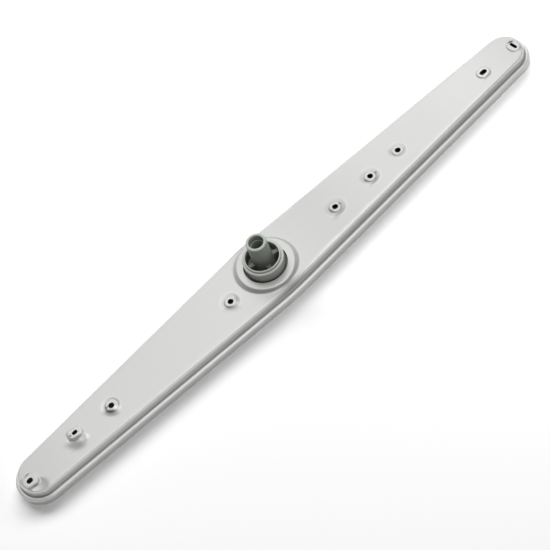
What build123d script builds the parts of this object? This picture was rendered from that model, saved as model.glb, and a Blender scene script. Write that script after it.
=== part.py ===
"""Dishwasher spray arm: two pressed steel halves joined by a rolled seam, turning about a moulded hub.

Millimetres. The hub's axis is x = y = 0 and the arm lies on z = 0. +X runs along the
longer wing and +Z points the way the jets spray and the water comes in.
"""

from build123d import *
from math import asin, atan2, cos, hypot, radians, sin, sqrt, tan
import os

os.makedirs("parts", exist_ok=True)

# Arm seen from above, to the outer edge of the seam
long_reach = 242.8
short_reach = 217.2
long_tip_radius = 17.2
short_tip_radius = 17.6
middle_margin = 7.3
middle_half_length = 6.0
corner_blend = 120.0

# Pressed sheet: heights above the floor, insets from the outer edge of the seam
sheet = 0.8
seam_height = 6.5
face_rise = 6.4
tray_bend = 1.6
seam_roll = 0.7
seam_lip = 2.4
seam_play = 0.05
wall_inset = 2.9
wall_draft = 5.0
face_bend = 1.4

# Raised collar round the hub's opening in the upper half
opening_gap = 1.0
collar_rise = 2.2
collar_width = 5.45
collar_bend = 1.2
collar_foot_bend = 1.2

# Ring bead pressed up round the hub's seat in the floor of the lower half
bead_radius = 1.6
bead_rise = 1.2

# Jet pressings, all with the collar's draft: hollows with a nipple, and raised bosses
pressing_draft = 35.0
hollow_depth = 0.9
hollow_shift = 0.8
nipple_radius = 4.0
boss_rise = 0.9
press_round = 0.4
mouth_radius = 2.0

# Bearing rings, and the hub's two flanges that run between them
running_gap = 0.3
side_gap = 0.5
ring_thickness = 1.0
ring_width = 5.0
ring_setback = 0.3
flange_thickness = 1.3
seat_radius = 17.2

# Hub sleeve, with windows that let the water out into the wings
sleeve_bore_radius = 11.5
sleeve_wall = 2.0
sleeve_rise = 7.5
rim_bead = 0.65
rim_bead_height = 1.5
rim_round = 0.6
window_count = 4
window_width = 11.0
window_height = 6.2
window_sill = 1.2

# Hub base, with a ring that plugs the foot of the sleeve
plug_height = 1.8
plug_wall = 1.6
plug_fit = 0.05

# Centre tube, its spokes, and the liner that seats in the mouth of the sleeve
liner_thickness = 1.0
liner_fit = 0.05
liner_depth = 7.0
liner_lip = 1.7
tube_rise = 16.7
tube_tip_radius = 6.87
tube_draft = 4.6
tube_wall = 2.4
tube_round = 0.7
tube_foot_gap = 4.6
socket_radius = 5.1
socket_depth = 5.0
throat_radius = 4.3
throat_length = 3.0
spoke_count = 4
spoke_thickness = 2.2
spoke_height = 5.0
spoke_drop = 3.3

# Jets in hollows: place of the mouth along and across the arm, and the hollow's radius
hollow_jets = [
    (80.0 - short_reach, 0.0, 6.3),
    (-34.2, -2.3, 6.9),
    (61.6, -2.1, 7.8),
    (93.8, -2.7, 7.2),
    (120.6, -2.1, 6.2),
]

# Jets on bosses: place, the boss's length, width and turn, and the mouth's length and width
boss_jets = [
    (10.0 - short_reach, -1.6, 9.6, 8.4, 0, 4.2, 3.6),
    (51.3 - short_reach, 2.8, 9.8, 6.4, 0, 3.8, 2.8),
    (long_reach - 39.4, -2.3, 8.8, 8.2, 0, 5.4, 3.6),
    (long_reach - 10.0, -2.8, 9.4, 7.8, 90, 6.6, 2.6),
]

# Hollows beside two of the bosses, which turn those jets sideways: place and radius
side_hollows = [
    (11.2 - short_reach, -9.0, 7.0),
    (48.7 - short_reach, -2.6, 6.5),
]

# Levels and radii that follow from the sizes above
fold_level = seam_height - sheet
flange_level = fold_level - sheet
face_level = seam_height + face_rise
collar_level = face_level + collar_rise
sleeve_radius = sleeve_bore_radius + sleeve_wall
opening_radius = sleeve_radius + rim_bead + opening_gap
collar_radius = opening_radius + collar_width
middle_half_width = collar_radius + middle_margin
upper_ring_level = collar_level - sheet - ring_thickness
sleeve_flange_level = upper_ring_level - running_gap - flange_thickness
base_level = sheet + ring_thickness
sleeve_foot = base_level + flange_thickness
sleeve_top = collar_level + sleeve_rise
ledge_level = sleeve_top - liner_depth
liner_radius = sleeve_bore_radius + liner_thickness
liner_top = sleeve_top + liner_lip
tube_top = liner_top + tube_rise
tube_foot = sleeve_foot + tube_foot_gap
press_angle = radians(pressing_draft)
press_shrink = sheet * (1 - sin(press_angle)) / cos(press_angle)
upper_ring_radius = collar_radius - press_shrink - side_gap


def outline(level, inset):
    """Arm's outline at a height, moved in from the seam: wing edges run tangent into the round tips."""
    half_width = middle_half_width - inset
    with BuildSketch(Plane.XY.offset(level)) as drawn:
        with BuildLine():
            for side, reach, tip in ((1, long_reach, long_tip_radius), (-1, short_reach, short_tip_radius)):
                radius = tip - inset
                run = reach - tip - middle_half_length
                slope = atan2(half_width, run) - asin(radius / hypot(half_width, run))
                touch_x = side * (reach - tip + radius * sin(slope))
                touch_y = side * radius * cos(slope)
                corner_x = side * middle_half_length
                corner_y = side * half_width
                Line((corner_x, -corner_y), (touch_x, -touch_y))
                ThreePointArc((touch_x, -touch_y), (side * (reach - inset), 0), (touch_x, touch_y))
                Line((touch_x, touch_y), (corner_x, corner_y))
                Line((corner_x, corner_y), (-corner_x, corner_y))
        make_face()
        corners = drawn.vertices().group_by(SortBy.DISTANCE)[0]
        fillet(corners, corner_blend - inset)
    return drawn.sketch


def pressed_form(depth, shrink):
    """The upper half as a filled form, its skin moved down by depth and its pressings in by shrink."""
    top = face_level - depth
    root = face_bend
    spread = tan(press_angle)
    with BuildPart() as form:
        add(outline(flange_level, wall_inset + depth))
        extrude(amount=top - flange_level, taper=wall_draft)
        fillet(form.faces().sort_by(Axis.Z)[-1].edges(), face_bend - depth)
        # Collar: a low cone with a rounded shoulder, blended into the face at its foot
        with BuildSketch(Plane.XY.offset(top - root)):
            Circle(collar_radius - shrink + (collar_rise + root) * spread)
        extrude(amount=collar_rise + root, taper=pressing_draft)
        cone = form.faces().filter_by(GeomType.CONE).sort_by(SortBy.AREA)[-1]
        fillet(cone.edges().filter_by_position(Axis.Z, top - root, top), collar_foot_bend + depth)
        fillet(form.faces().sort_by(Axis.Z)[-1].edges(), collar_bend - depth)
        # Hollows are shallow caps of a large ball
        hollows = [(x - hollow_shift, y, radius) for x, y, radius in hollow_jets] + side_hollows
        for x, y, radius in hollows:
            ball = (radius**2 + hollow_depth**2) / (2 * hollow_depth)
            with Locations((x, y, top - hollow_depth + ball)):
                Sphere(ball, mode=Mode.SUBTRACT)
        # Nipples rise from the hollows to the level of the face
        with BuildSketch(Plane.XY.offset(top - 2 * hollow_depth)):
            with Locations([(x, y) for x, y, radius in hollow_jets]):
                Circle(nipple_radius - shrink + hollow_depth * spread)
        extrude(amount=2 * hollow_depth, taper=pressing_draft)
        # Bosses stand above the face, and their roots reach below the side hollows
        with BuildSketch(Plane.XY.offset(top - 2 * hollow_depth)):
            for x, y, length, width, turn, mouth_length, mouth_width in boss_jets:
                grow = 2 * (2 * hollow_depth * spread - shrink)
                with Locations((x, y)):
                    SlotOverall(length + grow, width + grow, rotation=turn)
        extrude(amount=2 * hollow_depth + boss_rise, taper=pressing_draft)
        # The skin is round where the sheet bends over a nipple or a boss
        if depth < press_round:
            nipples = form.faces().filter_by_position(Axis.Z, top, top).sort_by(SortBy.AREA)[: len(hollow_jets)]
            bosses = form.faces().filter_by_position(Axis.Z, top + boss_rise, top + boss_rise)
            fillet((nipples + bosses).edges(), press_round - depth)
    return form.part


# Upper half: pressed sheet with a flange that the seam grips and a skirt that stands in the tray
outer_form = pressed_form(0, 0)
inner_form = pressed_form(sheet, press_shrink)
with BuildPart() as upper_shell:
    add(outer_form)
    add(outline(flange_level, sheet + seam_play))
    extrude(amount=sheet)
    add(outline(tray_bend, sheet + seam_play))
    extrude(amount=flange_level - tray_bend)
    add(outline(tray_bend, 2 * sheet + seam_play))
    extrude(amount=flange_level - tray_bend, mode=Mode.SUBTRACT)
    add(inner_form, mode=Mode.SUBTRACT)
    with Locations((0, 0, collar_level)):
        Hole(opening_radius)
    with Locations([(x, y, face_level) for x, y, radius in hollow_jets]):
        Hole(mouth_radius)
    with BuildSketch(Plane.XY.offset(flange_level)):
        for x, y, length, width, turn, mouth_length, mouth_width in boss_jets:
            with Locations((x, y)):
                SlotOverall(mouth_length, mouth_width, rotation=turn)
    extrude(amount=collar_level - flange_level, mode=Mode.SUBTRACT)
upper_shell.part.label = "upper_shell"

# Lower half: a shallow tray whose rim is rolled in over the upper half's flange
with BuildPart() as tray_hollow:
    add(outline(sheet, sheet))
    extrude(amount=fold_level - sheet)
    fillet(tray_hollow.faces().sort_by(Axis.Z)[0].edges(), tray_bend - sheet)

bead_level = bead_rise - bead_radius
ridge_radius = bead_radius + sheet
ridge_reach = sqrt(ridge_radius**2 - (sheet - bead_level) ** 2)
bead_centre = seat_radius + side_gap + ridge_reach
with BuildPart() as lower_shell:
    add(outline(0, 0))
    extrude(amount=seam_height)
    fillet(lower_shell.faces().sort_by(Axis.Z)[0].edges(), tray_bend)
    fillet(lower_shell.faces().sort_by(Axis.Z)[-1].edges(), seam_roll)
    add(tray_hollow.part, mode=Mode.SUBTRACT)
    add(outline(fold_level, seam_lip))
    extrude(amount=sheet, mode=Mode.SUBTRACT)
    with BuildSketch(Plane.XZ):
        with Locations((bead_centre, bead_level)):
            Circle(ridge_radius)
        with Locations((bead_centre, sheet / 2)):
            Rectangle(2 * ridge_radius, 2 * ridge_radius, align=(Align.CENTER, Align.MAX), mode=Mode.SUBTRACT)
    revolve(axis=Axis.Z)
    with BuildSketch(Plane.XZ):
        with Locations((bead_centre, bead_level)):
            Circle(bead_radius)
    revolve(axis=Axis.Z, mode=Mode.SUBTRACT)
lower_shell.part.label = "lower_shell"

# Bearing rings: one lies in the seat of the tray, one under the collar
with BuildPart() as lower_ring:
    with BuildSketch(Plane.XY.offset(sheet)):
        Circle(seat_radius)
        Circle(seat_radius - ring_width, mode=Mode.SUBTRACT)
    extrude(amount=ring_thickness)
lower_ring.part.label = "lower_ring"

with BuildPart() as upper_ring:
    with BuildSketch(Plane.XY.offset(upper_ring_level)):
        Circle(upper_ring_radius)
        Circle(opening_radius + ring_setback, mode=Mode.SUBTRACT)
    extrude(amount=ring_thickness)
upper_ring.part.label = "upper_ring"

# Hub sleeve: a flanged pipe with a beaded mouth and windows between the flanges
with BuildPart() as hub_sleeve:
    with BuildSketch(Plane.XY.offset(sleeve_foot)):
        Circle(sleeve_radius)
    extrude(amount=sleeve_top - sleeve_foot)
    with BuildSketch(Plane.XY.offset(sleeve_flange_level)):
        Circle(upper_ring_radius - side_gap)
    extrude(amount=flange_thickness)
    with BuildSketch(Plane.XY.offset(sleeve_top - rim_bead_height)):
        Circle(sleeve_radius + rim_bead)
    extrude(amount=rim_bead_height)
    bead_edges = hub_sleeve.edges().filter_by(GeomType.CIRCLE).filter_by_position(
        Axis.Z, sleeve_top - rim_bead_height, sleeve_top
    )
    fillet(bead_edges.sort_by(SortBy.RADIUS)[-2:], rim_round)
    with Locations((0, 0, sleeve_top)):
        CounterBoreHole(sleeve_bore_radius, liner_radius + liner_fit, liner_depth)
    with BuildSketch(Plane.XY.offset(sleeve_foot + window_sill)):
        with PolarLocations(sleeve_radius, window_count, start_angle=180 / window_count):
            Rectangle(sleeve_radius, window_width)
    extrude(amount=window_height, mode=Mode.SUBTRACT)
hub_sleeve.part.label = "hub_sleeve"

# Hub base: the lower flange, with a ring that plugs the foot of the sleeve
with BuildPart() as hub_base:
    with BuildSketch(Plane.XY.offset(base_level)):
        Circle(seat_radius)
    extrude(amount=flange_thickness)
    with BuildSketch(Plane.XY.offset(sleeve_foot)):
        Circle(sleeve_bore_radius - plug_fit)
        Circle(sleeve_bore_radius - plug_fit - plug_wall, mode=Mode.SUBTRACT)
    extrude(amount=plug_height)
hub_base.part.label = "hub_base"


def tube_radius(level):
    """Outer radius of the centre tube, which widens downwards by its draft."""
    return tube_tip_radius + (tube_top - level) * tan(radians(tube_draft))


# Centre tube: a drafted tube on four spokes inside the liner
throat_top = tube_top - socket_depth
throat_foot = throat_top - throat_length
spoke_level = liner_top - spoke_drop - spoke_height
spoke_start = tube_radius(spoke_level + spoke_height) - tube_wall / 2
spoke_end = liner_radius - liner_thickness / 2
with BuildPart() as centre_tube:
    with BuildSketch(Plane.XZ):
        with BuildLine():
            Polyline(
                (socket_radius, tube_top),
                (tube_tip_radius, tube_top),
                (tube_radius(tube_foot), tube_foot),
                (tube_radius(tube_foot) - tube_wall, tube_foot),
                (throat_radius, throat_foot),
                (throat_radius, throat_top),
                (socket_radius, throat_top),
                close=True,
            )
        make_face()
    revolve(axis=Axis.Z)
    fillet(centre_tube.faces().sort_by(Axis.Z)[-1].edges().sort_by(SortBy.RADIUS)[-1], tube_round)
    with BuildSketch(Plane.XY.offset(ledge_level)):
        Circle(liner_radius)
        Circle(sleeve_bore_radius, mode=Mode.SUBTRACT)
    extrude(amount=liner_top - ledge_level)
    with BuildSketch(Plane.XY.offset(spoke_level)):
        with PolarLocations((spoke_start + spoke_end) / 2, spoke_count):
            Rectangle(spoke_end - spoke_start, spoke_thickness)
    extrude(amount=spoke_height)
    liner_rim = centre_tube.edges().filter_by_position(Axis.Z, liner_top, liner_top)
    fillet(liner_rim, liner_thickness / 3)
centre_tube.part.label = "centre_tube"

for piece in (upper_shell, lower_shell, upper_ring, lower_ring, hub_sleeve, hub_base, centre_tube):
    export_step(piece.part, f"parts/{piece.part.label}.step")
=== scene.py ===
from math import asin, atan2, cos, hypot, pi, radians, sin, tan

import bmesh
import bpy
import numpy as np
from mathutils import Matrix, Vector


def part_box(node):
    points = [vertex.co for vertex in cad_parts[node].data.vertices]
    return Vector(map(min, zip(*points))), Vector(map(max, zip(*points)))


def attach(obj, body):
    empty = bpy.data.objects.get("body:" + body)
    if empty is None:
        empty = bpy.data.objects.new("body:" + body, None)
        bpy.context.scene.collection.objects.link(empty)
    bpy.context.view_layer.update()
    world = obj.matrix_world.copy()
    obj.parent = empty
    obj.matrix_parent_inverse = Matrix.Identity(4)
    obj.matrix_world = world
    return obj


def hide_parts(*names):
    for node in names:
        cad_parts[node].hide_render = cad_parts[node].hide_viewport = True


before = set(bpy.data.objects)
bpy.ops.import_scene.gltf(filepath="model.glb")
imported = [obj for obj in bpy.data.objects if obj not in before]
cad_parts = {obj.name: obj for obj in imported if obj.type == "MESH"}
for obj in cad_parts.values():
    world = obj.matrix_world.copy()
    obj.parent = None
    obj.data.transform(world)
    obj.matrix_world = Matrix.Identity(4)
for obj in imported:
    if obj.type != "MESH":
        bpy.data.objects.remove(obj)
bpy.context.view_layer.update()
mm = 0.001

# Lower half of the arm. A shallow tray pressed from stainless sheet, whose rim is rolled in over
# the flange of the upper half, so that the two halves are one closed water box. A ring bead in
# its floor stiffens the seat of the hub.
sheet = 0.8 * mm
tray_low, tray_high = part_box("lower_shell")
half_width = tray_high.y
middle_length = 6.0 * mm
corner_ease = 0.15 * mm
tips = {
    "long": {"reach": tray_high.x, "radius": 17.2 * mm},
    "short": {"reach": -tray_low.x, "radius": 17.6 * mm},
}
for tip in tips.values():
    tip["centre"] = tip["reach"] - tip["radius"]
    run = tip["centre"] - middle_length
    tip["slope"] = atan2(half_width, run) - asin(tip["radius"] / hypot(half_width, run))


def soft_min(a, b, ease):
    """The smaller of two values, with the corner between them rounded: their minimum less
    h^2 * ease / 4, where h = 1 - |a - b| / ease, held at 0 and above."""
    near = np.maximum(1 - np.abs(a - b) / ease, 0)
    return np.minimum(a, b) - near**2 * ease / 4


def soft_max(a, b, ease):
    """The larger of two values, with the corner between them rounded: the opposite of the
    soft_min of their opposites."""
    return -soft_min(-a, -b, ease)


def side_height(x, inset):
    """Half width of the arm at x, at an inset from its edge. Each wing's side is a line that
    touches its tip's circle, y = (r - inset - (|x| - centre) sin s) / cos s, where s is the
    slope. The lower line holds, up to the middle's width, with the corner between them eased."""
    lines = [
        (tip["radius"] - inset - (side * x - tip["centre"]) * sin(tip["slope"])) / cos(tip["slope"])
        for side, tip in ((1, tips["long"]), (-1, tips["short"]))
    ]
    return soft_min(np.minimum(*lines), half_width - inset, corner_ease)


def edge_path(stations, tip_steps, inset):
    """Closed path at an inset from the arm's edge, anticlockwise from the long tip, with its
    outward directions. On a tip: centre + radius * (cos a, sin a) at even angles a. On a side:
    the side height at the x stations, and the direction (-slope, 1) brought to length 1."""
    long_tip, short_tip = tips["long"], tips["short"]
    long_turn = np.linspace(0, pi / 2 - long_tip["slope"], tip_steps)
    short_turn = np.linspace(pi / 2 + short_tip["slope"], pi, tip_steps)
    arcs = []
    for turn, centre, radius in (
        (long_turn, long_tip["centre"], long_tip["radius"] - inset),
        (short_turn, -short_tip["centre"], short_tip["radius"] - inset),
    ):
        way = np.stack([np.cos(turn), np.sin(turn)], 1)
        arcs.append((way * radius + [centre, 0], way))
    step = 0.01 * mm
    rise = side_height(stations + step, inset) - side_height(stations - step, inset)
    slope = rise / (2 * step)
    side = np.stack([stations, side_height(stations, inset)], 1)
    side_way = np.stack([-slope, np.ones_like(slope)], 1)
    side_way /= np.linalg.norm(side_way, axis=1)[:, None]
    upper = np.concatenate([arcs[0][0], side, arcs[1][0]])
    upper_way = np.concatenate([arcs[0][1], side_way, arcs[1][1]])
    mirror = np.array([1, -1])
    path = np.concatenate([upper, upper[-2:0:-1] * mirror])
    way = np.concatenate([upper_way, upper_way[-2:0:-1] * mirror])
    return path, way


def rounded_profile(corners, steps=5):
    """Polygon whose corners are arcs. A corner is (across, up, radius) in mm, and its arc touches
    the two sides that meet there, radius * tan(turn / 2) from the corner. A point at share p of
    the arc = centre + (start sin((1 - p) turn) + end sin(p turn)) / sin(turn)."""
    points = []
    here = np.array([c[:2] for c in corners])
    for index, radius in enumerate(c[2] for c in corners):
        back = here[index - 1] - here[index]
        on = here[(index + 1) % len(here)] - here[index]
        back, on = back / np.linalg.norm(back), on / np.linalg.norm(on)
        turn = pi - np.arccos(np.clip(back @ on, -1, 1))
        if radius == 0 or turn < 1e-4:
            points.append(here[index])
            continue
        middle = back + on
        middle /= np.linalg.norm(middle)
        centre = here[index] + middle * radius / cos(turn / 2)
        start = here[index] + back * radius * tan(turn / 2) - centre
        end = here[index] + on * radius * tan(turn / 2) - centre
        for part in np.linspace(0, 1, steps):
            arm = start * sin((1 - part) * turn) + end * sin(part * turn)
            points.append(centre + arm / sin(turn))
    return np.array(points) * mm


def carried(profile, path, way, inset, lift=None):
    """Profile of (inset, height) carried round a path: point = path + way * (inset of the path
    - inset of the profile), at the profile's height and any lift of the place it comes to."""
    ground = path[None] + way[None] * (inset - profile[:, :1])[..., None]
    height = np.broadcast_to(profile[:, 1:], ground.shape[:2])
    if lift is not None:
        height = height + lift(ground[..., 0], ground[..., 1])
    return np.concatenate([ground, height[..., None]], 2)


def joined_mesh(name, grids):
    """One mesh from grids of points. A grid is (points, whether its columns close, value of the
    per-point attribute of painted shade and highlights, or None). Its cells become quads, points
    that fall together are merged, and the faces are turned outwards."""
    weld = 0.002 * mm
    points, faces, painted_shade = [], [], []
    start = 0
    for grid, closes, mark in grids:
        rows, columns = grid.shape[:2]
        index = start + np.arange(rows * columns).reshape(rows, columns)
        if closes:
            index = np.concatenate([index, index[:, :1]], 1)
        cells = [index[:-1, :-1], index[:-1, 1:], index[1:, 1:], index[1:, :-1]]
        faces.append(np.stack(cells, -1).reshape(-1, 4))
        points.append(grid.reshape(-1, 3))
        painted_shade.append(np.broadcast_to(0.0 if mark is None else mark, (rows, columns)).ravel())
        start += rows * columns
    mesh = bpy.data.meshes.new(name)
    mesh.from_pydata(np.concatenate(points), [], np.concatenate(faces))
    marks = mesh.attributes.new("painted_shade", "FLOAT", "POINT")
    marks.data.foreach_set("value", np.concatenate(painted_shade))
    work = bmesh.new()
    work.from_mesh(mesh)
    bmesh.ops.remove_doubles(work, verts=work.verts, dist=weld)
    bmesh.ops.recalc_face_normals(work, faces=work.faces)
    work.to_mesh(mesh)
    work.free()
    mesh.shade_smooth()
    piece = bpy.data.objects.new(name, mesh)
    bpy.context.scene.collection.objects.link(piece)
    return piece


def dress(piece, material, body, node):
    """Gives a piece its material and body, and hides the solid that it stands for."""
    piece.data.materials.append(material)
    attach(piece, body)
    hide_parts(node)


def skin_group(name):
    """An empty shader group for a skin. It takes a place, the per-point attribute of painted shade
    and highlights and how much that shows, and gives a shade to multiply the colour by, a change
    of roughness and a height."""
    tree = bpy.data.node_groups.new(name, "ShaderNodeTree")
    for label, kind in (("Place", "Vector"), ("PaintedShade", "Float"), ("PaintedShadeGain", "Float")):
        tree.interface.new_socket(label, in_out="INPUT", socket_type="NodeSocket" + kind)
    for label in ("Shade", "Roughness", "Height"):
        tree.interface.new_socket(label, in_out="OUTPUT", socket_type="NodeSocketFloat")
    return tree, tree.nodes.new("NodeGroupInput"), tree.nodes.new("NodeGroupOutput")


def noise(tree, place, scale, detail):
    """A noise node that reads a place, with its scale in waves a metre."""
    node = tree.nodes.new("ShaderNodeTexNoise")
    node.inputs["Scale"].default_value = scale
    node.inputs["Detail"].default_value = detail
    tree.links.new(place, node.inputs["Vector"])
    return node.outputs["Fac"]


def stretched(tree, place, scale):
    """A place multiplied by a scale along each axis, for a grain that runs one way."""
    node = tree.nodes.new("ShaderNodeMapping")
    node.inputs["Scale"].default_value = scale
    tree.links.new(place, node.inputs["Vector"])
    return node.outputs["Vector"]


def between(tree, value, low, high, from_low=0.3, from_high=0.7):
    """A value mapped evenly from one range to another and held inside it. Nearly all of a noise
    lies from 0.3 to 0.7, so that is the range it comes from where no other is given."""
    node = tree.nodes.new("ShaderNodeMapRange")
    labels = ("From Min", "From Max", "To Min", "To Max")
    for label, setting in zip(labels, (from_low, from_high, low, high)):
        node.inputs[label].default_value = setting
    tree.links.new(value, node.inputs["Value"])
    return node.outputs["Result"]


def sum_of(tree, *values, operation="ADD"):
    """The sum of some values, or what another operation makes of them."""
    total = values[0]
    for value in values[1:]:
        node = tree.nodes.new("ShaderNodeMath")
        node.operation = operation
        for socket, part in zip(node.inputs, (total, value)):
            if isinstance(part, bpy.types.NodeSocket):
                tree.links.new(part, socket)
            else:
                socket.default_value = part
        total = node.outputs[0]
    return total


# Rolled sheet: a fine grain along the arm, a faint cloudiness, and painted shade and highlights
# from the per-point attribute, which also leaves the skin smoother where it is above 0
rolled, rolled_in, rolled_out = skin_group("rolled_sheet")
place = rolled_in.outputs["Place"]
streaks = noise(rolled, stretched(rolled, place, (60, 2400, 2400)), 1.0, 3.0)
cloud = noise(rolled, place, 28.0, 3.0)
pits = noise(rolled, place, 2600.0, 2.0)
# The per-point attribute, times its gain, adds painted shade and highlights to the shade
painted_shade, painted_shade_gain = rolled_in.outputs["PaintedShade"], rolled_in.outputs["PaintedShadeGain"]
skin = {
    "Shade": (
        between(rolled, cloud, -0.012, 0.012),
        between(rolled, streaks, -0.008, 0.008),
        sum_of(rolled, painted_shade, painted_shade_gain, operation="MULTIPLY"),
        1.0,
    ),
    "Roughness": (
        between(rolled, streaks, -0.03, 0.03),
        between(rolled, cloud, -0.02, 0.02),
        between(rolled, painted_shade, 0.0, -0.06, 0.0, 1.0),
    ),
    "Height": (
        between(rolled, streaks, 0.0, 0.5, 0.0, 1.0),
        between(rolled, pits, 0.0, 0.5, 0.0, 1.0),
    ),
}
for label, parts in skin.items():
    rolled.links.new(sum_of(rolled, *parts), rolled_out.inputs[label])


def surfaced(name, group, colour, roughness, painted_shade_gain, metallic=0.0, bump=0.3, bump_height=0.02 * mm):
    """A material whose colour, roughness and bump come from a skin group, about these values:
    colour * shade, roughness + its change, and the group's height times the bump's height. The
    shade carries the painted shade and highlights of the per-point attribute."""
    material = bpy.data.materials.new(name)
    material.use_nodes = True
    tree = material.node_tree
    shader = tree.nodes["Principled BSDF"]
    shader.inputs["Metallic"].default_value = metallic
    where = tree.nodes.new("ShaderNodeTexCoord")
    skin = tree.nodes.new("ShaderNodeGroup")
    skin.node_tree = group
    tree.links.new(where.outputs["Object"], skin.inputs["Place"])
    painted_shade = tree.nodes.new("ShaderNodeAttribute")
    painted_shade.attribute_name = "painted_shade"
    tree.links.new(painted_shade.outputs["Fac"], skin.inputs["PaintedShade"])
    skin.inputs["PaintedShadeGain"].default_value = painted_shade_gain
    paint = tree.nodes.new("ShaderNodeMix")
    paint.data_type = "RGBA"
    paint.blend_type = "MULTIPLY"
    paint.inputs["Factor"].default_value = 1.0
    paint.inputs["A"].default_value = (*colour, 1.0)
    tree.links.new(skin.outputs["Shade"], paint.inputs["B"])
    tree.links.new(paint.outputs["Result"], shader.inputs["Base Color"])
    rough = sum_of(tree, skin.outputs["Roughness"], roughness)
    tree.links.new(rough, shader.inputs["Roughness"])
    relief = tree.nodes.new("ShaderNodeBump")
    relief.inputs["Strength"].default_value = bump
    relief.inputs["Distance"].default_value = bump_height
    tree.links.new(skin.outputs["Height"], relief.inputs["Height"])
    tree.links.new(relief.outputs["Normal"], shader.inputs["Normal"])
    return material


satin_steel = surfaced(
    "satin_steel",
    rolled,
    colour=(0.64, 0.64, 0.63),
    roughness=0.38,
    metallic=0.35,
    painted_shade_gain=0.35,
    bump=0.25,
    bump_height=0.03 * mm,
)

# The tray's section: up the rolled edge, in over the flange, and back down inside the wall
tray_bend = 1.6
tray_section = rounded_profile(
    [
        (tray_bend, 0.0, 0.0),
        (0.0, 0.0, tray_bend),
        (0.0, 6.5, 1.4),
        (2.4, 6.5, 0.3),
        (2.4, 5.75, 0.15),
        (0.8, 5.75, 0.0),
        (0.8, 0.8, 0.8),
        (tray_bend, 0.8, 0.0),
    ],
    8,
)
tray_stations = np.linspace(tips["long"]["centre"], -tips["short"]["centre"], 121)
tray_path, tray_way = edge_path(tray_stations, 25, tray_bend * mm)
bead_ring, bead_reach, bead_rise = 19.9 * mm, 2.2 * mm, 1.2 * mm
bead_clear = 24 * mm


def tray_bead(x, y):
    """Height of the ring bead: rise * (1 - d^2)^2, d = distance from the ring / its reach, held
    at 1."""
    away = np.minimum(np.abs(np.hypot(x, y) - bead_ring) / bead_reach, 1)
    return bead_rise * (1 - away**2) ** 2


def tray_floor(level):
    """Floor of the tray: rings blended evenly from the edge path to a circle clear of the bead,
    then that circle shrunk in small steps over the bead, and on to the centre."""
    circle = tray_path / np.linalg.norm(tray_path, axis=1)[:, None] * bead_clear
    outer = np.linspace(0, 1, 7)[:, None, None]
    spread = tray_path[None] * (1 - outer) + circle[None] * outer
    over_bead, to_centre = np.linspace(1, 0.66, 16)[1:], [0.4, 0.0]
    inner = np.concatenate([over_bead, to_centre])[:, None, None] * circle[None]
    ground = np.concatenate([spread, inner])
    lifted = level + tray_bead(ground[..., 0], ground[..., 1])
    return np.concatenate([ground, lifted[..., None]], 2)


# Painted light on the fold, matched to the photograph: bright on its crown and its outer bend,
# less so along the long wing's outer bend, and none on the cut lip
fold_crown, fold_lip = 5.9 * mm, 2.39 * mm
along_long_wing = np.clip(tray_path[:, 0] / (100 * mm), 0, 1)
fold_painted_shade = np.where(tray_section[:, 1:] > fold_crown, 0.9, 1 - 0.4 * along_long_wing)
fold_painted_shade = fold_painted_shade * (tray_section[:, :1] < fold_lip)
tray = joined_mesh(
    "tray",
    [
        (carried(tray_section, tray_path, tray_way, tray_bend * mm), True, fold_painted_shade),
        (tray_floor(0.0), True, None),
        (tray_floor(sheet), True, None),
    ],
)
dress(tray, satin_steel, "arm", "lower_shell")

# Upper half of the arm. The same sheet, drawn about 6 mm deep with a rounded edge, with a raised
# collar round the hub and nine jets pressed into its face. Its flange is gripped by the rolled
# seam of the lower half.
face_level = 12.9 * mm
wall_foot_inset, wall_foot_level, wall_draft = 2.9, 4.9, radians(5)


def wall_inset(level):
    """Inset of the drafted wall at a level, both in mm: inset at the foot + (level - level of
    the foot) * tan(draft)."""
    return wall_foot_inset + (level - wall_foot_level) * tan(wall_draft)


edge_bend = 1.4
face_inset = wall_inset(face_level / mm)
rim_inset = face_inset + edge_bend * tan((pi / 2 - wall_draft) / 2)
flange_level = 5.7
collar_radius, collar_rise, collar_slope = 20.1 * mm, 2.2 * mm, 1.1
collar_ease = 0.9 * mm
coined_radius, coined_width, coined_depth = 24.2 * mm, 0.5 * mm, 0.05 * mm
opening_radius = 15.15 * mm
hollow_depth, hollow_ease, hollow_shift = 0.9 * mm, 0.15 * mm, 0.8
nipple_radius, nipple_slope, nipple_ease, nipple_foot_ease = 4.1 * mm, 1.1, 0.5 * mm, 0.3 * mm
boss_rise, boss_ease = 0.9 * mm, 0.4 * mm
nipple_clear, boss_clear = 3 * mm, 4 * mm

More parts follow.
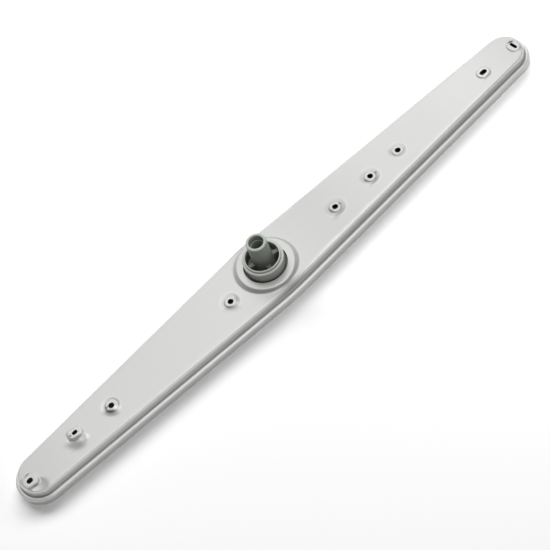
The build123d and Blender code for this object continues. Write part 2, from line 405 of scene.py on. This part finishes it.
# Each jet: where its mouth is, the radius of its hollow, or its boss as half length, half width,
# direction in degrees and squareness, then the half length, half width and squareness of its
# mouth, and the two cuts across the arm between which its stretch of the sheet lies, all in mm
jets = [
    {
        "at": (232.8, -2.8),
        "boss": (4.7, 3.9, 90, 2),
        "mouth": (1.15, 3.1, 4),
        "cell": (218.5, None),
    },
    {
        "at": (203.4, -2.3),
        "boss": (4.4, 4.1, 0, 2),
        "mouth": (2.7, 1.8, 3),
        "cell": (188.0, 218.5),
    },
    {"at": (120.6, -2.1), "hollow": 6.2, "mouth": (2.0, 2.0, 2), "cell": (107.5, 135.0)},
    {"at": (93.8, -2.7), "hollow": 7.2, "mouth": (2.0, 2.0, 2), "cell": (77.5, 107.5)},
    {"at": (61.6, -2.1), "hollow": 7.8, "mouth": (2.0, 2.0, 2), "cell": (46.0, 77.5)},
    {"at": (-34.2, -2.3), "hollow": 6.9, "mouth": (2.0, 2.0, 2), "cell": (-48.0, -25.5)},
    {"at": (-137.2, 0.0), "hollow": 6.3, "mouth": (2.0, 2.0, 2), "cell": (-151.5, -123.0)},
    {
        "at": (-165.9, 2.8),
        "boss": (4.7, 3.0, -14, 3),
        "mouth": (1.9, 1.4, 3),
        "cell": (-188.0, -151.5),
    },
    {
        "at": (-207.2, -1.6),
        "boss": (4.8, 4.2, 0, 3),
        "mouth": (2.1, 1.8, 3),
        "cell": (None, -188.0),
    },
]
side_hollows = [((-206.0, -9.0), 7.0), ((-168.5, -2.6), 6.5)]


def turned_about(x, y, degrees):
    """Distances along and across a direction: (x cos t + y sin t, y cos t - x sin t)."""
    turn = radians(degrees)
    return x * cos(turn) + y * sin(turn), y * cos(turn) - x * sin(turn)


def fading(distance, width):
    """A bell that fades with distance: exp(-(distance / width)^2)."""
    return np.exp(-((distance / width) ** 2))


def pressed_height(x, y):
    """Height of the pressings above the plain form. A hollow is depth * (1 - (d / radius)^2) deep.
    In it a nipple rises by slope * distance inside its radius, up to the face's level. A boss
    and the collar rise the same way, the boss at slope 1, from the face to their rise. The
    coined ring is a shallow bell. Corners are eased by soft_min and soft_max."""
    height = np.zeros_like(x)
    pits = [
        ((jet["at"][0] - hollow_shift, jet["at"][1]), jet["hollow"])
        for jet in jets
        if "hollow" in jet
    ]
    for (px, py), radius in pits + side_hollows:
        away = np.hypot(x - px * mm, y - py * mm) / (radius * mm)
        height = soft_min(height, hollow_depth * (away**2 - 1), hollow_ease)
    for jet in jets:
        px, py = jet["at"][0] * mm, jet["at"][1] * mm
        if "hollow" in jet:
            inside = nipple_radius - np.hypot(x - px, y - py)
            pressing = soft_min(inside * nipple_slope, 0.0, nipple_ease)
            near, foot_ease = inside > -nipple_clear, nipple_foot_ease
        else:
            length, width, turn, square = jet["boss"]
            along, across = turned_about(x - px, y - py, turn)
            beyond = np.maximum(np.abs(along) - (length - width) * mm, 0)
            inside = width * mm - (beyond**square + np.abs(across) ** square) ** (1 / square)
            pressing = soft_min(inside + boss_rise, boss_rise, boss_ease)
            near, foot_ease = inside > -boss_clear, boss_ease
        height = np.where(near, soft_max(height, pressing, foot_ease), height)
    radius = np.hypot(x, y)
    step = (collar_radius - radius) * collar_slope + collar_rise
    collar = soft_max(soft_min(step, collar_rise, collar_ease), 0.0, collar_ease)
    coined = -coined_depth * fading(radius - coined_radius, coined_width)
    return height + collar + coined


def outer_skin(x, y):
    """Height of the outer skin: level of the face + height of the pressings."""
    return face_level + pressed_height(x, y)


# Spots of painted shade and painted highlight round the jets, matched to the photograph:
# centre, half length, half width, direction in degrees, and how much brighter, or darker where
# it is less than 0
painted_spots = [
    ((120.0, -5.2), 2.0, 1.0, 10, -0.5),
    ((98.1, -3.4), 1.3, 1.0, 60, -1.5),
    ((89.5, -3.2), 1.8, 1.2, -45, -0.9),
    ((93.2, -8.1), 5.0, 1.5, 10, -0.8),
    ((65.4, -2.6), 1.3, 1.0, 70, -1.3),
    ((58.1, -2.4), 1.7, 1.2, -70, -0.8),
    ((60.4, -8.2), 6.0, 1.8, 5, -0.7),
    ((-30.4, -3.8), 2.0, 1.2, 80, -0.7),
    ((-37.2, -7.0), 5.5, 2.4, -40, -0.8),
    ((-31.6, -6.6), 2.2, 1.2, 60, 0.5),
    ((-140.2, 1.1), 1.3, 1.0, 10, -1.7),
    ((-140.7, -4.1), 5.2, 2.6, -51, -1.9),
    ((-135.3, -4.4), 2.4, 1.6, -41, 1.0),
    ((-169.5, 3.0), 1.2, 0.9, 0, -1.7),
    ((-171.3, -4.1), 6.2, 3.6, -48, -1.6),
    ((-163.7, -3.7), 3.4, 2.3, -41, 1.5),
    ((-166.2, -1.5), 4.6, 0.7, 0, -0.9),
    ((-206.2, 3.3), 2.1, 0.9, 0, -1.7),
    ((-207.5, -6.4), 4.2, 0.8, -12, -1.1),
    ((202.2, -6.9), 3.4, 0.9, 8, -0.7),
    ((233.9, 1.2), 2.0, 1.3, -20, -2.6),
]

# Painted light and shade along the face, slow changes of brightness matched to the photograph,
# in mm: middle and strength, fading over the width on the next line
painted_face_light = [(50, -0.27), (195, 0.27), (-160, 0.12)]
painted_face_light_width = 40

# Painted shade on the collar's flank, and on the strip of face between it and the near edge
flank_foot, flank_width = 2.2 * mm, 2.4 * mm
strip_painted_shade, strip_length, strip_start = 1.1, 9 * mm, 21.2

# Round a nipple, in mm: a ring of painted shade in its hollow and a painted highlight on the
# hollow's rim, with their strength all round and how much more they have on the side away from
# the lamp
dull_ring, dull_width, dull_round, dull_more = 4.7, 1.2, 0.1, 0.4
bright_out, bright_width, bright_round, bright_more = 0.3, 0.6, 0.15, 0.2
lamp_way = (0.57, 0.82)
face_rim = rim_inset * mm
# A painted highlight on the long wing's near rim: strength, growth, reach past the turn, fade
painted_rim_highlight, rim_grows, rim_past, rim_fades = 0.45, 40 * mm, 4 * mm, 14 * mm
long_turn_x, short_turn_x = (
    side * (tip["centre"] + (tip["radius"] - face_rim) * sin(tip["slope"]))
    for side, tip in ((1, tips["long"]), (-1, tips["short"]))
)


def near_rim(x, y):
    """Where the painted highlight lies: 1 at the points where the face of the long wing meets the
    near edge's bend, else 0. It grows from the hub, x / the length it grows over, and fades
    evenly before the tip."""
    fade = np.clip((long_turn_x + rim_past - x) / rim_fades, 0, 1)
    wing = np.clip(x / rim_grows, 0, 1) * fade
    return wing * (y < 0) * (np.abs(y) > side_height(x, face_rim) - 0.01 * mm)


def unlit(x, y):
    """How far a direction points away from the main lamp: (1 - cosine of the angle) / 2."""
    return 0.5 - 0.5 * (lamp_way[0] * x + lamp_way[1] * y) / np.hypot(x, y)


def painted_shade_mark(x, y):
    """Painted light and shade on the face, matched to the photograph and fixed on the sheet, as a
    sum. The collar's flank: painted shade, -4 n^2 h (1 - h), h = share of its rise, n = how far
    it faces away from the lamp. The strip between collar and near edge: painted shade. The long
    wing's near rim: a painted highlight. Along the face: slow bells of painted light and shade.
    Round a nipple: a bell of painted shade in its hollow and a painted highlight on the hollow's
    rim, both more on the side away from the lamp. A spot: strength * exp(-(u^2 + v^2)^2), painted
    shade where the strength is below 0 and a painted highlight above."""
    up = np.clip((collar_radius + flank_foot - np.hypot(x, y)) / flank_width, 0, 1)
    mark = -4 * unlit(x, y) ** 2 * up * (1 - up)
    strip = np.clip(-y / mm - strip_start, 0, 1)
    mark = mark - strip_painted_shade * fading(x, strip_length) * strip
    mark = mark + painted_rim_highlight * near_rim(x, y)
    for middle, strength in painted_face_light:
        mark = mark + strength * fading(x / mm - middle, painted_face_light_width)
    for jet in jets:
        if "hollow" in jet:
            aside, beside = x / mm - jet["at"][0], y / mm - jet["at"][1]
            away, turned_off = np.hypot(aside, beside), unlit(aside, beside)
            rim = away - jet["hollow"] - bright_out
            dull = (dull_round + dull_more * turned_off) * fading(away - dull_ring, dull_width)
            bright = (bright_round + bright_more * turned_off) * fading(rim, bright_width)
            mark = mark - dull
            mark = mark + bright
    for (px, py), length, width, turn, strength in painted_spots:
        along, across = turned_about(x / mm - px, y / mm - py, turn)
        spot_shade = np.exp(-(((along / length) ** 2 + (across / width) ** 2) ** 2))
        mark = mark + strength * spot_shade
    return mark


def cell_stations(low, high):
    """Stations across a cell, about 1.6 mm apart, from its high end to its low end."""
    return np.linspace(high, low, max(int((high - low) / (1.6 * mm)), 2) + 1)


# The sheet is meshed in cells between these cuts across the arm
cuts = [218.5, 188.0, 135.0, 107.5, 77.5, 46.0, 28.0, -25.5, -48.0, -123.0, -151.5, -188.0]
ends = [long_turn_x] + [cut * mm for cut in cuts] + [short_turn_x]
cells = [cell_stations(low, high)[:-1] for high, low in zip(ends, ends[1:])]
stations = np.concatenate(cells)[1:]
tip_steps = 15
path, way = edge_path(stations, tip_steps, face_rim)
half_count = len(path) // 2 + 1
upper_side = path[:half_count]
shares = np.linspace(0, 1, 19)


def side_index(x):
    """Index of the path's point at a cut: the one whose x is nearest."""
    return int(np.argmin(np.abs(upper_side[tip_steps:-tip_steps, 0] - x))) + tip_steps


def cell_ring(low, high):
    """Closed ring round a cell, anticlockwise: the far edge, the low cut, the near edge and the
    high cut, with each cut at even shares of its length. At a tip of the arm the cut is missing,
    and the edge runs round the tip."""
    first = 0 if high is None else side_index(high * mm)
    last = half_count - 1 if low is None else side_index(low * mm)
    far = upper_side[first : last + 1]
    near = far[::-1] * [1, -1]
    parts = [far]
    if low is not None:
        parts.append(far[-1] + (near[0] - far[-1]) * shares[1:-1, None])
    parts.append(near[1:] if low is None else near)
    if high is None:
        parts[-1] = parts[-1][:-1]
    else:
        parts.append(near[-1] + (far[0] - near[-1]) * shares[1:-1, None])
    return np.concatenate(parts)


mouth_round, lip_drop, lip_width = 0.2 * mm, 0.1 * mm, 0.7 * mm
outer_rows, inner_rows, under_rows = 6, 34, 9


def pierced_cell(ring, centre, mouth_radius, knee, lip_shine):
    """Sheet between a ring and a mouth, seen from both sides, with its painted light and shade and
    a painted highlight that fades with distance from the mouth's edge. A ray runs from the ring to
    the mouth: point = centre + distance * direction, in even steps to the knee and closer ones
    inside it, over the mouth's rounded lip, down its edge and back under the skin."""
    spoke = ring - centre
    reach = np.linalg.norm(spoke, axis=1)
    spoke = spoke / reach[:, None]
    bearing = np.arctan2(spoke[:, 1], spoke[:, 0])
    mouth = mouth_radius(bearing)
    lip = mouth + mouth_round
    knee = np.minimum(knee, lip + 0.8 * (reach - lip))
    far = np.linspace(0, 1, outer_rows)[:, None]
    close = np.linspace(0, 1, inner_rows)[1:, None]
    skin = np.concatenate([reach * (1 - far) + knee * far, knee * (1 - close) + lip * close])
    turn = np.linspace(0, pi / 2, 4)[1:, None]
    edge = mouth + mouth_round * (1 - np.sin(turn))
    back = np.linspace(0, 1, under_rows)[:, None]
    under = (lip + 0.2 * mm) * (1 - back**1.5) + reach * back**1.5
    rays = np.concatenate([skin, edge, mouth[None], under])
    ground = centre + rays[..., None] * spoke[None]
    x, y = ground[..., 0], ground[..., 1]
    drop = np.zeros_like(rays)
    top_rows, edge_rows = len(skin), len(edge)
    drop[top_rows : top_rows + edge_rows] = mouth_round * (1 - np.cos(turn))
    drop[top_rows + edge_rows] = sheet + lip_drop
    drop[top_rows + edge_rows + 1 :] = sheet
    points = np.concatenate([ground, (outer_skin(x, y) - drop)[..., None]], 2)
    return points, painted_shade_mark(x, y) + lip_shine * fading(rays - mouth, lip_width)


def mouth_shape(length, width, square):
    """Radius of a mouth at a bearing: (|cos / length|^n + |sin / width|^n)^(-1/n), where n is
    its squareness."""

    def radius(bearing):
        """The formula above, at some bearings."""
        along, across = np.abs(np.cos(bearing) / length), np.abs(np.sin(bearing) / width)
        return (along**square + across**square) ** (-1 / square) * mm

    return radius


jet_knee, hub_knee = 9.5 * mm, 23.5 * mm
# Strength of the painted highlight round a mouth's lip, on a nipple and on the other mouths
nipple_shine, lip_shine = 0.25, 0.5
grids = []
for jet in jets:
    points, marks = pierced_cell(
        cell_ring(*jet["cell"]),
        np.array(jet["at"]) * mm,
        mouth_shape(*jet["mouth"]),
        jet_knee,
        nipple_shine if "hollow" in jet else lip_shine,
    )
    grids.append((points, True, marks))
points, marks = pierced_cell(
    cell_ring(-25.5, 28.0),
    np.zeros(2),
    lambda bearing: np.full_like(bearing, opening_radius),
    hub_knee,
    lip_shine,
)
grids.append((points, True, marks))

# Plain stretches between the jets
for low, high in ((135.0, 188.0), (28.0, 46.0), (-123.0, -48.0)):
    far = upper_side[side_index(high * mm) : side_index(low * mm) + 1]
    ground = far[None] + (far * [1, -1] - far)[None] * shares[:, None, None]
    x, y = ground[..., 0], ground[..., 1]
    for drop in (0.0, sheet):
        points = np.concatenate([ground, (outer_skin(x, y) - drop)[..., None]], 2)
        grids.append((points, False, painted_shade_mark(x, y)))

# The edge's section: from the face over the bend, down the wall, out along the flange and back
# inside, one sheet thickness in
wall_section = rounded_profile(
    [
        (rim_inset, 12.9, 0.0),
        (face_inset, 12.9, edge_bend),
        *((wall_inset(level), level, 0.0) for level in (11, 10, 9, 8, 7)),
        (wall_inset(flange_level), flange_level, 0.45),
        (0.85, flange_level, 0.3),
        (0.85, 1.6, 0.0),
        (1.65, 1.6, 0.0),
        (1.65, 4.9, 0.0),
        (wall_foot_inset + 0.8, 4.9, 0.3),
        (face_inset + 0.8, 12.1, edge_bend - 0.8),
        (rim_inset, 12.1, 0.0),
    ],
    12,
)

# Painted light and shade on the wall and its bend, matched to the photograph: level in mm, then
# how bright it is on the short wing and on the long wing
wall_shine = np.array(
    [
        (5.7, 0, 0),
        (6.3, 0.1, 0),
        (7, 0.25, -0.2),
        (8, 0.25, -0.4),
        (9, 0.35, -0.55),
        (10, 0.7, -0.25),
        (11, 1.4, 0.35),
        (12, 2.0, 0.62),
        (12.5, 1.6, 0.7),
        (12.89, 0.4, 0.4),
        (12.9, 0, 0),
    ]
)
wall_level = wall_section[:, 1:] / mm
short_wing_shine, long_wing_shine = (
    np.interp(wall_level, wall_shine[:, 0], wall_shine[:, wing]) for wing in (1, 2)
)

# One wing's painted light and shade passes into the other's over the blend, and painted shade
# darkens the bend by the hub
blend_start, blend_length = -120, 180
hub_painted_shade, hub_painted_shade_length, hub_painted_shade_level, hub_painted_shade_rise = 1.5, 12 * mm, 8, 2
bend_top = 12.895
long_wing_share = np.clip((path[:, 0] / mm - blend_start) / blend_length, 0, 1)
bend_mark = short_wing_shine * (1 - long_wing_share) + long_wing_shine * long_wing_share
high_up = np.clip((wall_level - hub_painted_shade_level) / hub_painted_shade_rise, 0, 1)
bend_mark = bend_mark - hub_painted_shade * high_up * fading(path[:, 0], hub_painted_shade_length)
# The painted highlight on the long wing's near rim goes on along the top row of the bend
at_rim = (wall_level > bend_top) * near_rim(path[:, 0], path[:, 1])
bend_mark = bend_mark + painted_rim_highlight * at_rim
grids.append((carried(wall_section, path, way, face_rim, pressed_height), True, bend_mark))
spray_face = joined_mesh("spray_face", grids)
dress(spray_face, satin_steel, "arm", "upper_shell")

# Hub sleeve. A tube with a beaded mouth and a flange that the collar traps, injection moulded in
# grey-green plastic with a matt, faintly orange-peeled skin and painted highlights on its rims.
# Its water windows lie out of sight under the collar, and only its solid has them.
moulded, moulded_in, moulded_out = skin_group("moulded_plastic")
place = moulded_in.outputs["Place"]
flow = noise(moulded, stretched(moulded, place, (1.0, 1.0, 0.35)), 90.0, 3.0)
peel = noise(moulded, place, 1800.0, 2.0)
speck = noise(moulded, place, 5200.0, 1.0)
# The per-point attribute, times its gain, adds painted shade and highlights to the shade
painted_shade, painted_shade_gain = moulded_in.outputs["PaintedShade"], moulded_in.outputs["PaintedShadeGain"]
skin = {
    "Shade": (
        between(moulded, flow, -0.04, 0.04),
        between(moulded, speck, -0.015, 0.015),
        sum_of(moulded, painted_shade, painted_shade_gain, operation="MULTIPLY"),
        1.0,
    ),
    "Roughness": (
        between(moulded, peel, -0.05, 0.05),
        between(moulded, flow, -0.03, 0.03),
    ),
    "Height": (
        between(moulded, peel, 0.0, 0.7, 0.0, 1.0),
        between(moulded, speck, 0.0, 0.3, 0.0, 1.0),
    ),
}
for label, parts in skin.items():
    moulded.links.new(sum_of(moulded, *parts), moulded_out.inputs[label])
hub_plastic = surfaced(
    "hub_plastic", moulded, colour=(0.495, 0.51, 0.475), roughness=0.4, painted_shade_gain=0.3
)


def turned(section, steps):
    """Section of (radius, height) carried once round the hub's axis: (radius cos a, radius sin a,
    height) at even bearings a."""
    bearing = np.arange(steps) * 2 * pi / steps
    radius, level = section[:, 0][:, None], section[:, 1][:, None]
    return np.stack([radius * np.cos(bearing), radius * np.sin(bearing), level + 0 * bearing], 2)


def closed_section(corners, steps=5):
    """Rounded profile that ends on its first point, so that the piece it makes is closed."""
    section = rounded_profile(corners, steps)
    return np.concatenate([section, section[:1]])


def painted_rim_mask(section, level, steps):
    """1 on a turned piece's points above a level, where its rim gets a painted highlight, and 0
    below.
    """
    return np.where(section[:, 1] > level * mm, 1.0, 0.0)[:, None] * np.ones(steps)


sleeve_steps = 160
sleeve_section = closed_section(
    [
        (11.5, 3.1, 0.0),
        (13.5, 3.1, 0.2),
        (13.5, 11.7, 0.3),
        (18.67, 11.7, 0.2),
        (18.67, 13.0, 0.2),
        (13.5, 13.0, 0.3),
        (13.5, 13.9, 0.0),
        (13.5, 14.5, 0.0),
        (13.5, 21.1, 0.15),
        (14.15, 21.1, 0.3),
        (14.15, 22.6, 0.55),
        (12.55, 22.6, 0.15),
        (12.55, 15.6, 0.0),
        (11.5, 15.6, 0.0),
    ]
)

# Its rim has a painted highlight, and painted shade darkens it down in the gap to the collar, as
# the photograph shows it
gap_painted_shade, gap_radius, gap_level = 2.6, 13.4 * mm, 14.0 * mm
in_gap = (sleeve_section[:, :1] > gap_radius) & (sleeve_section[:, 1:] < gap_level)
sleeve_mark = painted_rim_mask(sleeve_section, 22.0, sleeve_steps) - gap_painted_shade * in_gap
sleeve = joined_mesh("sleeve", [(turned(sleeve_section, sleeve_steps), True, sleeve_mark)])
dress(sleeve, hub_plastic, "hub", "hub_sleeve")

# Centre tube. One moulding: the nearly straight tube that feeds the water, held by four upright
# spokes in a liner, whose lip stands out of the sleeve's mouth. The tube and the spokes show
# darker than the liner: they take a darker copy of the hub's plastic, as painted shade.
shaded_tube_plastic = surfaced(
    "shaded_tube_plastic", moulded, colour=(0.155, 0.17, 0.148), roughness=0.4, painted_shade_gain=2.4
)
tube_steps = 128
tube_draft = tan(radians(0.6))
tube_top, tube_tip, tube_bore, throat, throat_level = 41.0, 6.95, 5.1, 4.3, 36.0
tube_foot, foot_radius, foot_wall = 7.7, 9.55, 2.4
tube_levels = (39.9, 36, 32, 28, 24, 20, 16)
tube_section = closed_section(
    [
        (tube_bore, tube_top, 0.25),
        (tube_tip, tube_top, 0.7),
        *((tube_tip + (tube_top - level) * tube_draft, level, 0.0) for level in tube_levels),
        (8.2, 13.0, 1.5),
        (foot_radius, 9.8, 1.5),
        (foot_radius, tube_foot, 0.3),
        (foot_radius - foot_wall, tube_foot, 0.3),
        (throat, 33.0, 0.0),
        (throat, throat_level, 0.1),
        (tube_bore, throat_level, 0.1),
    ],
    6,
)
liner_section = closed_section(
    [
        (11.5, 15.6, 0),
        (12.5, 15.6, 0),
        (12.5, 23.7, 0),
        (12.5, 24.3, 0.35),
        (11.5, 24.3, 0.35),
        (11.5, 23.7, 0),
    ],
    6,
)
spoke_low, spoke_high, spoke_half, spoke_round = 15.5, 21.6, 1.5, 0.4
spoke_start, spoke_end, spoke_turn = 6.6, 11.9, radians(-13)
tube_wall, liner_wall = 7.2 * mm, 11.5 * mm
tube_fillet, liner_fillet, flare_share = 0.5 * mm, 0.35 * mm, 0.35


def spoke(bearing):
    """A spoke: a rounded oblong section carried out along a bearing b, point = (along cos b -
    side sin b, along sin b + side cos b, level). Its side grows by up to flare_share at each
    wall, by the share exp(-distance from the wall / fillet)."""
    outline = closed_section(
        [
            (-spoke_half, spoke_low, spoke_round),
            (spoke_half, spoke_low, spoke_round),
            (spoke_half, spoke_high, spoke_round),
            (-spoke_half, spoke_high, spoke_round),
        ]
    )
    out = np.linspace(spoke_start, spoke_end, 13) * mm
    near_tube = np.exp(-((out - tube_wall) / tube_fillet))
    near_liner = np.exp(-((liner_wall - out) / liner_fillet))
    flare = 1 + flare_share * np.clip(near_tube + near_liner, 0, 1)
    side = outline[None, :, 0] * flare[:, None]
    level = np.broadcast_to(outline[None, :, 1], side.shape)
    along = np.broadcast_to(out[:, None], side.shape)
    x = along * cos(bearing) - side * sin(bearing)
    y = along * sin(bearing) + side * cos(bearing)
    return np.stack([x, y, level], 2)


# Painted light on the tube, matched to the photograph: brighter towards its top, with a painted
# highlight at its rim and inside its throat
throat_shine, bore_shine, bore_edge = 0.5, 0.05, 5.3 * mm
tube_shine, shine_start, shine_rise, shine_end, rim_highlight_from = 0.45, 12, 28, 40.2, 40.3
tube_height, in_bore = tube_section[:, 1:] / mm, tube_section[:, :1] < bore_edge
bore_mark = np.where(tube_height < throat_level + 0.05, throat_shine, bore_shine)
higher = np.clip((tube_height - shine_start) / shine_rise, 0, 1)
skin_mark = tube_shine * higher * (tube_height < shine_end)
tube_rim_highlight = painted_rim_mask(tube_section, rim_highlight_from, tube_steps)
tube_mark = tube_rim_highlight + np.where(in_bore, bore_mark, skin_mark)
liner_mark = painted_rim_mask(liner_section, 23.9, sleeve_steps)
spoke_turns = [index * pi / 2 + spoke_turn for index in range(4)]
feed_tube = joined_mesh("feed_tube", [(turned(tube_section, tube_steps), True, tube_mark)])
liner = joined_mesh("mouth_liner", [(turned(liner_section, sleeve_steps), True, liner_mark)])
spokes = joined_mesh("spokes", [(spoke(turn), False, None) for turn in spoke_turns])
dress(feed_tube, shaded_tube_plastic, "hub", "centre_tube")
dress(liner, hub_plastic, "hub", "centre_tube")
dress(spokes, shaded_tube_plastic, "hub", "centre_tube")

# Bearing. The hub's lower flange, moulded like the sleeve, and the two flat rings of black
# plastic that the flanges run between, one in the tray's seat and one under the collar. Their
# solids have the right shape and only need their skin.
bearing_plastic = surfaced(
    "bearing_plastic", moulded, colour=(0.12, 0.12, 0.12), roughness=0.45, painted_shade_gain=0.0
)
for node, material in (
    ("hub_base", hub_plastic),
    ("upper_ring", bearing_plastic),
    ("lower_ring", bearing_plastic),
):
    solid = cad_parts[node]
    solid.data.materials.clear()
    solid.data.materials.append(material)

# Floor. A sheet of white paper, level under the arm and turned up far behind it. Close by it
# takes the arm's shadow, and farther out it is seen as plain white, straight or in a gloss.
floor_section = np.array(
    [
        *((0, 0), (0.5, 0), (1, 0), (2, 0), (5, 0)),
        *((5.5, 0.07), (5.8, 0.25), (5.95, 0.55), (6, 1), (6, 1.6)),
    ],
    dtype=float,
)
paper_colour, seen_paper = 0.7, 2.0
white_from, white_to = 0.3, 0.6
floor = joined_mesh("floor", [(turned(floor_section, 96), True, None)])
floor_paper = bpy.data.materials.new("floor_paper")
floor_paper.use_nodes = True
tree = floor_paper.node_tree
paper = tree.nodes["Principled BSDF"]
paper.inputs["Roughness"].default_value = 0.9
paper.inputs["Specular IOR Level"].default_value = 0.0
rays = tree.nodes.new("ShaderNodeLightPath")
seen_rays = ("Is Camera Ray", "Is Glossy Ray", "Is Transmission Ray")
seen = sum_of(tree, *(rays.outputs[label] for label in seen_rays))
shown = between(tree, seen, paper_colour, seen_paper, 0.0, 1.0)
tree.links.new(shown, paper.inputs["Base Color"])
where = tree.nodes.new("ShaderNodeTexCoord")
distance = tree.nodes.new("ShaderNodeVectorMath")
distance.operation = "LENGTH"
tree.links.new(where.outputs["Object"], distance.inputs[0])
far_out = between(tree, distance.outputs["Value"], 0.0, 1.0, white_from, white_to)
white = tree.nodes.new("ShaderNodeEmission")
sweep = tree.nodes.new("ShaderNodeMixShader")
tree.links.new(sum_of(tree, far_out, seen, operation="MULTIPLY"), sweep.inputs["Fac"])
tree.links.new(paper.outputs["BSDF"], sweep.inputs[1])
tree.links.new(white.outputs["Emission"], sweep.inputs[2])
tree.links.new(sweep.outputs["Shader"], tree.nodes["Material Output"].inputs["Surface"])
floor_paper.cycles.emission_sampling = "NONE"
floor.data.materials.append(floor_paper)

# Light. A long soft lamp beyond the arm's far side and a wide one overhead light the arm, and a
# table lamp in the first one's direction and a small fill at the near side light the floor. A
# weak white sky lifts the shadows.
sky = bpy.data.worlds.new("studio")
sky.use_nodes = True
backdrop = sky.node_tree.nodes["Background"]
backdrop.inputs["Color"].default_value = (1.0, 1.0, 1.0, 1.0)
backdrop.inputs["Strength"].default_value = 0.14
bpy.context.scene.world = sky


def soft_lamp(name, place, aim, size, watts):
    """An oblong lamp at a place, turned to an aim."""
    data = bpy.data.lights.new(name, "AREA")
    data.shape = "RECTANGLE"
    data.size, data.size_y = size
    data.energy = watts
    lamp = bpy.data.objects.new(name, data)
    bpy.context.scene.collection.objects.link(lamp)
    away = (Vector(place) - Vector(aim)).to_track_quat("Z", "Y")
    lamp.matrix_world = Matrix.Translation(place) @ away.to_matrix().to_4x4()
    return lamp


def lit_by(lamp, state):
    """Lets a lamp light the floor alone, INCLUDE, or all but the floor, EXCLUDE."""
    choice = bpy.data.collections.new(lamp.name + "_choice")
    choice.objects.link(floor)
    lamp.light_linking.receiver_collection = choice
    choice.collection_objects[0].light_linking.link_state = state


middle = (0, 0, 0)
lit_by(soft_lamp("key", (0.87, 1.51, 1.1), middle, (3.1, 0.84), 13.0), "EXCLUDE")
lit_by(soft_lamp("table_lamp", (0.87, 1.51, 1.65), middle, (3.1, 0.84), 38.0), "INCLUDE")
lit_by(soft_lamp("fill", (0.42, -0.17, 0.2), (0.25, 0, 0), (0.2, 0.2), 0.26), "INCLUDE")
lit_by(soft_lamp("ceiling", (0.28, 0.0, 1.4), middle, (2.4, 1.2), 17.0), "EXCLUDE")

# Camera. A long lens that looks down on the arm at about 55 degrees, fitted to the arm's edges in
# the photograph, with the short wing towards the lower left.
camera_data = bpy.data.cameras.new("camera")
camera_data.sensor_width = 36.0
camera_data.lens = 109.03
camera_data.clip_start = 0.05
camera = bpy.data.objects.new("camera", camera_data)
bpy.context.scene.collection.objects.link(camera)
right, up = (0.7231, -0.6496, -0.2348), (0.6555, 0.5382, 0.5297)
back = (-0.21771, -0.53697, 0.81503)
turn = Matrix((right, up, back)).transposed().to_4x4()
camera.matrix_world = Matrix.Translation((-0.23901, -0.59686, 0.90303)) @ turn
bpy.context.scene.camera = camera
bpy.context.scene.view_settings.view_transform = "Standard"
